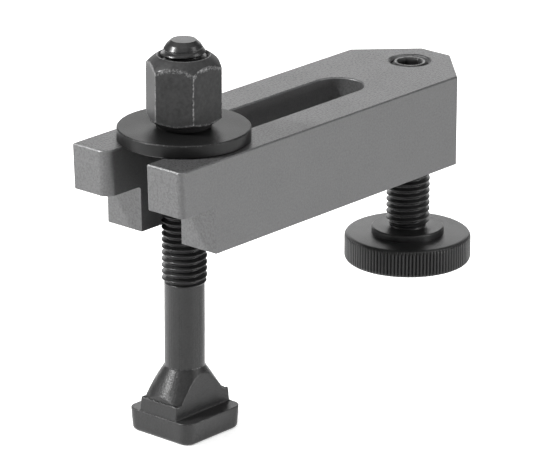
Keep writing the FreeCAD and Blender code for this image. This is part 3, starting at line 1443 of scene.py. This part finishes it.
@dataclass
class SupportScrew:
    """Support screw: knurled foot, collar, undercut, thread and hexagon key socket."""

    workshop: Workshop
    threads: ThreadTree
    knurls: KnurlTree
    box: NodeBox = field(default_factory=lambda: NodeBox.of(Part.SCREW))
    foot_height: float = 7.8
    foot_edge: float = 1.25
    knurl_pitch: float = 1.0
    knurl_depth: float = 0.42
    knurl_crest_share: float = 0.4
    collar_radius: float = 10.0
    collar_height: float = 1.9
    collar_bevel: float = 0.3
    undercut_inset: float = 1.05
    undercut_height: float = 0.6
    end_bevel: float = 1.8
    socket_flats: float = 6.0
    socket_depth: float = 7.0
    socket_mouth_margin: float = 0.2
    columns: int = 84

    def finish(self) -> SteelFinish:
        """Blackened turned steel whose tool marks circle the screw's axis."""
        return SteelFinish(
            slot="screw_steel",
            skin=0.012,
            metal=0.0,
            specular=0.3,
            bare_and_highlight=0.2,
            roughness=0.36,
            bare_roughness=0.35,
            grain_size=0.45,
            grain_contrast=0.2,
            grain_depth=0.02,
            turned_about=(round(self.box.centre.x, 3), 0.0),
            ring_contrast=0.1,
            ring_depth=0.005,
        )

    def build(self) -> None:
        """Makes the screw's pieces."""
        finish = self.finish()
        material = self.workshop.material(finish)
        centre_x = self.box.centre.x
        base, end = self.box.low.z, self.box.high.z
        radius = (self.box.high.y - self.box.low.y) / 2.0
        foot_top = base + self.foot_height
        knurl = {
            "Radius": radius,
            "Base": base,
            "Height": self.foot_height,
            "Edge Radius": self.foot_edge,
            "Teeth": round(FULL_TURN * radius / self.knurl_pitch),
            "Tooth Depth": self.knurl_depth,
            "Crest Share": self.knurl_crest_share,
            "Centre X": centre_x,
        }
        foot = self.knurls.evaluate("knurled_foot", knurl, material)
        self.workshop.deliver(new_piece("knurled_foot", foot, 40.0), finish, Part.SCREW)

        collar_top = foot_top + self.collar_height
        undercut = THREAD.crest - self.undercut_inset
        thread_bottom = collar_top + self.undercut_height
        corners = [
            (0.0, foot_top - 0.3, 0.0),
            (self.collar_radius, foot_top - 0.3, 0.0),
            (self.collar_radius, collar_top - 2.0 * self.collar_bevel, 0.0),
            (self.collar_radius, collar_top - self.collar_bevel, 0.1),
            (self.collar_radius - self.collar_bevel, collar_top, 0.1),
            (self.collar_radius - 2.0 * self.collar_bevel, collar_top, 0.0),
            (undercut, collar_top, 0.25),
            (undercut, thread_bottom, 0.0),
            (0.0, thread_bottom, 0.0),
        ]

        def wear_and_highlight(spot_radius: float, height: float) -> float:
            """Bright bevel round the collar."""
            near = abs(height - (collar_top - self.collar_bevel / 2.0)) < self.collar_bevel
            on_rim = spot_radius > self.collar_radius - 1.3 * self.collar_bevel
            return 0.3 if near and on_rim else 0.0

        collar = lathe("screw_collar", rounded_profile(corners), centre_x, 144, wear_and_highlight)
        self.workshop.deliver(new_piece("screw_collar", collar, 30.0), finish, Part.SCREW)

        end_radius = THREAD.crest - self.end_bevel
        sizes = THREAD.outer(
            Bottom=thread_bottom,
            Top=end,
            Bottom_Radius=undercut,
            Top_Radius=end_radius,
            Top_Cap_Radius=end_radius,
            Centre_X=centre_x,
            Columns=float(self.columns),
        )
        thread = self.threads.evaluate("screw_thread", sizes, material)
        socket = self.socket(centre_x, end, end_radius)
        mesh = join_meshes("socket_screw_thread", [thread, socket])
        self.workshop.deliver(new_piece("socket_screw_thread", mesh, 70.0), finish, Part.SCREW)

    def socket(self, centre_x: float, end: float, end_radius: float) -> bpy.types.Mesh:
        """End face of the screw with its hexagon key socket.

        Args:
            centre_x: Where the screw's axis stands along the bar.
            end: Height of the end face.
            end_radius: Outer radius of the end face.

        Returns:
            The mesh, open at its outer edge, in metres.
        """
        stack = RingStack(np.arange(self.columns) * (FULL_TURN / self.columns), centre_x)
        from_corner = np.mod(np.degrees(stack.angles), 60.0)
        hexagon = self.socket_flats / 2.0 / np.cos(np.radians(30.0 - from_corner))
        mouth = self.socket_flats / math.sqrt(3.0) + self.socket_mouth_margin
        stack.add(end_radius, end, 0.5)
        stack.add(end_radius - 0.12, end, 0.5)
        stack.add(mouth + 0.08, end, 0.5)
        stack.add(mouth, end - 0.04, 0.5)
        stack.add(hexagon, end - (mouth - hexagon) - 0.02)
        stack.add(hexagon, end - 1.2)
        stack.add(hexagon, end - self.socket_depth)
        stack.add(0.0, end - self.socket_depth)
        return stack.mesh("key_socket")


@dataclass
class ClampBar:
    """Forked clamping bar with the thread of its tapped hole."""

    workshop: Workshop
    threads: ThreadTree
    box: NodeBox = field(default_factory=lambda: NodeBox.of(Part.BAR))
    edge_round: float = 0.12
    edge_highlight: float = 0.43

    def build(self) -> None:
        """Makes the bar's body and the thread in its hole."""
        body = self.body()
        self.workshop.deliver(body, MILLED, Part.BAR)
        material = self.workshop.material(MILLED)
        centre_x = NodeBox.of(Part.SCREW).centre.x
        wall = THREAD.crest + THREAD.play - 0.01
        sizes = THREAD.inner(
            Bottom=self.box.low.z,
            Top=self.box.high.z - 0.02,
            Bottom_Radius=wall,
            Top_Radius=wall,
            Bottom_Cap_Radius=wall,
            Top_Cap_Radius=wall,
            Centre_X=centre_x,
            Columns=72.0,
        )
        sizes["Crest Radius"] = wall
        thread = self.threads.evaluate("tapped_hole_thread", sizes, material)
        piece = new_piece("tapped_hole_thread", thread, 70.0)
        self.workshop.deliver(piece, MILLED, Part.BAR)

    def body(self) -> bpy.types.Object:
        """Rounds the edges of a copy of the CAD bar.

        Returns:
            The bar as one piece.
        """
        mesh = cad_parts[Part.BAR.value].data.copy()
        shape = bmesh.new()
        shape.from_mesh(mesh)
        bmesh.ops.remove_doubles(shape, verts=shape.verts, dist=0.002 * MM)
        bmesh.ops.dissolve_limit(
            shape, angle_limit=math.radians(0.5), verts=shape.verts, edges=shape.edges
        )
        shape.to_mesh(mesh)
        shape.free()
        mesh.shade_smooth()
        piece = bpy.data.objects.new("bar_body", mesh)
        bpy.context.scene.collection.objects.link(piece)
        bevel = piece.modifiers.new("edge_round", "BEVEL")
        bevel.width = self.edge_round * MM
        bevel.segments = 2
        bevel.limit_method = "ANGLE"
        bevel.angle_limit = math.radians(28.0)
        weighted = piece.modifiers.new("flat_faces", "WEIGHTED_NORMAL")
        weighted.mode = "FACE_AREA"
        weighted.weight = 100
        graph = bpy.context.evaluated_depsgraph_get()
        rounded = bpy.data.meshes.new_from_object(piece.evaluated_get(graph))
        piece.modifiers.clear()
        piece.data = rounded
        self.paint_edge_highlights(rounded)
        return piece

    def paint_edge_highlights(self, mesh: bpy.types.Mesh) -> None:
        """Paints highlights on the narrow slanted faces along the bar's top edges, through the wear
        attribute.

        Args:
            mesh: The bar's mesh, changed in place.
        """
        bore = NodeBox.of(Part.SCREW).centre.x
        layer = mesh.attributes.new(WEAR_AND_HIGHLIGHT, "FLOAT", "CORNER")
        brightening = [0.0] * len(mesh.loops)
        for face in mesh.polygons:
            centre = face.center / MM
            # Painted highlight: slanted bevel faces near the top take the bright bare colour.
            slanted = 0.15 < face.normal.z < 0.98 and centre.z > self.box.high.z - 1.0
            in_bore = math.hypot(centre.x - bore, centre.y) < THREAD.crest + 1.0
            if slanted and not in_bore:
                for corner in face.loop_indices:
                    brightening[corner] = self.edge_highlight
        layer.data.foreach_set("value", brightening)


@dataclass(frozen=True)
class Softbox:
    """Flat soft light that faces the clamp.

    Azimuth turns anticlockwise round the clamp from the camera's side, in degrees.
    """

    name: str
    azimuth: float
    elevation: float
    width: float
    height: float
    radiance: float
    distance: float = 900.0

    def hang(self, target: Vector, camera_side: float) -> None:
        """Hangs the light.

        Args:
            target: The point that it faces.
            camera_side: Direction of the camera's side in degrees from the X axis.
        """
        turn = math.radians(camera_side + self.azimuth)
        rise = math.radians(self.elevation)
        level = math.cos(rise)
        aim = -Vector((math.cos(turn) * level, math.sin(turn) * level, math.sin(rise)))
        data = bpy.data.lights.new(self.name, "AREA")
        data.shape = "RECTANGLE"
        data.size, data.size_y = self.width * MM, self.height * MM
        data.energy = math.pi * self.radiance * data.size * data.size_y
        lamp = bpy.data.objects.new(self.name, data)
        bpy.context.scene.collection.objects.link(lamp)
        lamp.location = (target - aim * self.distance) * MM
        lamp.rotation_mode = "QUATERNION"
        lamp.rotation_quaternion = aim.to_track_quat("-Z", "Y")
        lamp.visible_camera = False


@dataclass
class Studio:
    """Pale floor, soft lights and the camera at the photograph's view."""

    target: tuple[float, float, float] = (29.453, -3.926, 47.076)
    azimuth: float = -48.8196
    elevation: float = 19.3532
    roll: float = 0.1658
    distance: float = 1206.886
    focal_pixels: float = 4547.52
    image_width: float = 540.0
    sensor_width: float = 36.0
    floor_size: float = 6000.0
    floor_grey: float = 0.92
    floor_glow: float = 0.4
    world_grey: float = 0.2
    softboxes: tuple[Softbox, ...] = (
        Softbox("key_light", -76.0, 40.0, 90.0, 90.0, 520.0),
        Softbox("left_light", -86.0, 6.0, 700.0, 260.0, 2.6),
        Softbox("front_light", 0.0, 62.0, 500.0, 400.0, 2.2),
        Softbox("right_light", 66.0, 6.0, 230.0, 260.0, 19.0),
        Softbox("high_right_light", 78.0, 42.0, 300.0, 300.0, 9.0),
        Softbox("back_light", 180.0, 16.0, 1100.0, 400.0, 2.15, 1000.0),
        Softbox("top_light", 0.0, 88.0, 1000.0, 1000.0, 0.8),
    )

    def back(self) -> Vector:
        """Direction from the target to the camera."""
        azimuth, elevation = math.radians(self.azimuth), math.radians(self.elevation)
        level = math.cos(elevation)
        return Vector((math.sin(azimuth) * level, -math.cos(azimuth) * level, math.sin(elevation)))

    def build_camera(self) -> None:
        """Places the camera."""
        azimuth, roll = math.radians(self.azimuth), math.radians(self.roll)
        back = self.back()
        level_right = Vector((math.cos(azimuth), math.sin(azimuth), 0.0))
        level_up = back.cross(level_right)
        right = math.cos(roll) * level_right + math.sin(roll) * level_up
        up = math.cos(roll) * level_up - math.sin(roll) * level_right
        data = bpy.data.cameras.new("photo_view")
        data.sensor_width = self.sensor_width
        data.lens = self.focal_pixels / self.image_width * self.sensor_width
        data.clip_start, data.clip_end = 0.05, 50.0
        camera = bpy.data.objects.new("photo_view", data)
        bpy.context.scene.collection.objects.link(camera)
        place = (Vector(self.target) + back * self.distance) * MM
        turn = Matrix((right, up, back)).transposed().to_4x4()
        camera.matrix_world = Matrix.Translation(place) @ turn
        bpy.context.scene.camera = camera

    def build_floor(self) -> None:
        """Lays the plain pale floor that the bolt's head stands on."""
        half = self.floor_size / 2.0 * MM
        mesh = bpy.data.meshes.new("studio_floor")
        mesh.from_pydata(
            [(-half, -half, 0.0), (half, -half, 0.0), (half, half, 0.0), (-half, half, 0.0)],
            [],
            [(0, 1, 2, 3)],
        )
        floor = bpy.data.objects.new("studio_floor", mesh)
        bpy.context.scene.collection.objects.link(floor)
        floor.location.z = -0.02 * MM
        material = bpy.data.materials.new("pale_floor")
        material.use_nodes = True
        surface = material.node_tree.nodes["Principled BSDF"]
        surface.inputs["Base Color"].default_value = (self.floor_grey,) * 3 + (1.0,)
        surface.inputs["Roughness"].default_value = 0.9
        surface.inputs["Emission Color"].default_value = (1.0, 1.0, 1.0, 1.0)
        surface.inputs["Emission Strength"].default_value = self.floor_glow
        surface.inputs["Specular IOR Level"].default_value = 0.1
        mesh.materials.append(material)

    def build_lights(self) -> None:
        """Hangs the soft lights and sets the pale surroundings."""
        back = self.back()
        camera_side = math.degrees(math.atan2(back.y, back.x))
        for softbox in self.softboxes:
            softbox.hang(Vector(self.target), camera_side)
        world = bpy.data.worlds.new("pale_studio")
        world.use_nodes = True
        background = world.node_tree.nodes["Background"]
        background.inputs["Color"].default_value = (self.world_grey,) * 3 + (1.0,)
        background.inputs["Strength"].default_value = 1.0
        bpy.context.scene.world = world
        bpy.context.scene.view_settings.view_transform = "Standard"

    def build(self) -> None:
        """Makes the whole stage."""
        self.build_camera()
        self.build_floor()
        self.build_lights()


def main() -> None:
    """Builds the clamp's looks and the stage, one sub-assembly after another."""
    logging.basicConfig(level=logging.INFO, format="%(name)s: %(message)s")
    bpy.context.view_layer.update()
    workshop = Workshop()
    threads = ThreadTree()
    knurls = KnurlTree()
    for assembly in (
        Studio(),
        ClampBar(workshop, threads),
        TSlotBolt(workshop, threads),
        Washer(workshop),
        ClampNut(workshop, threads),
        SupportScrew(workshop, threads, knurls),
    ):
        assembly.build()
        log.info("%s is built", type(assembly).__name__)


if __name__ == "__main__":
    main()
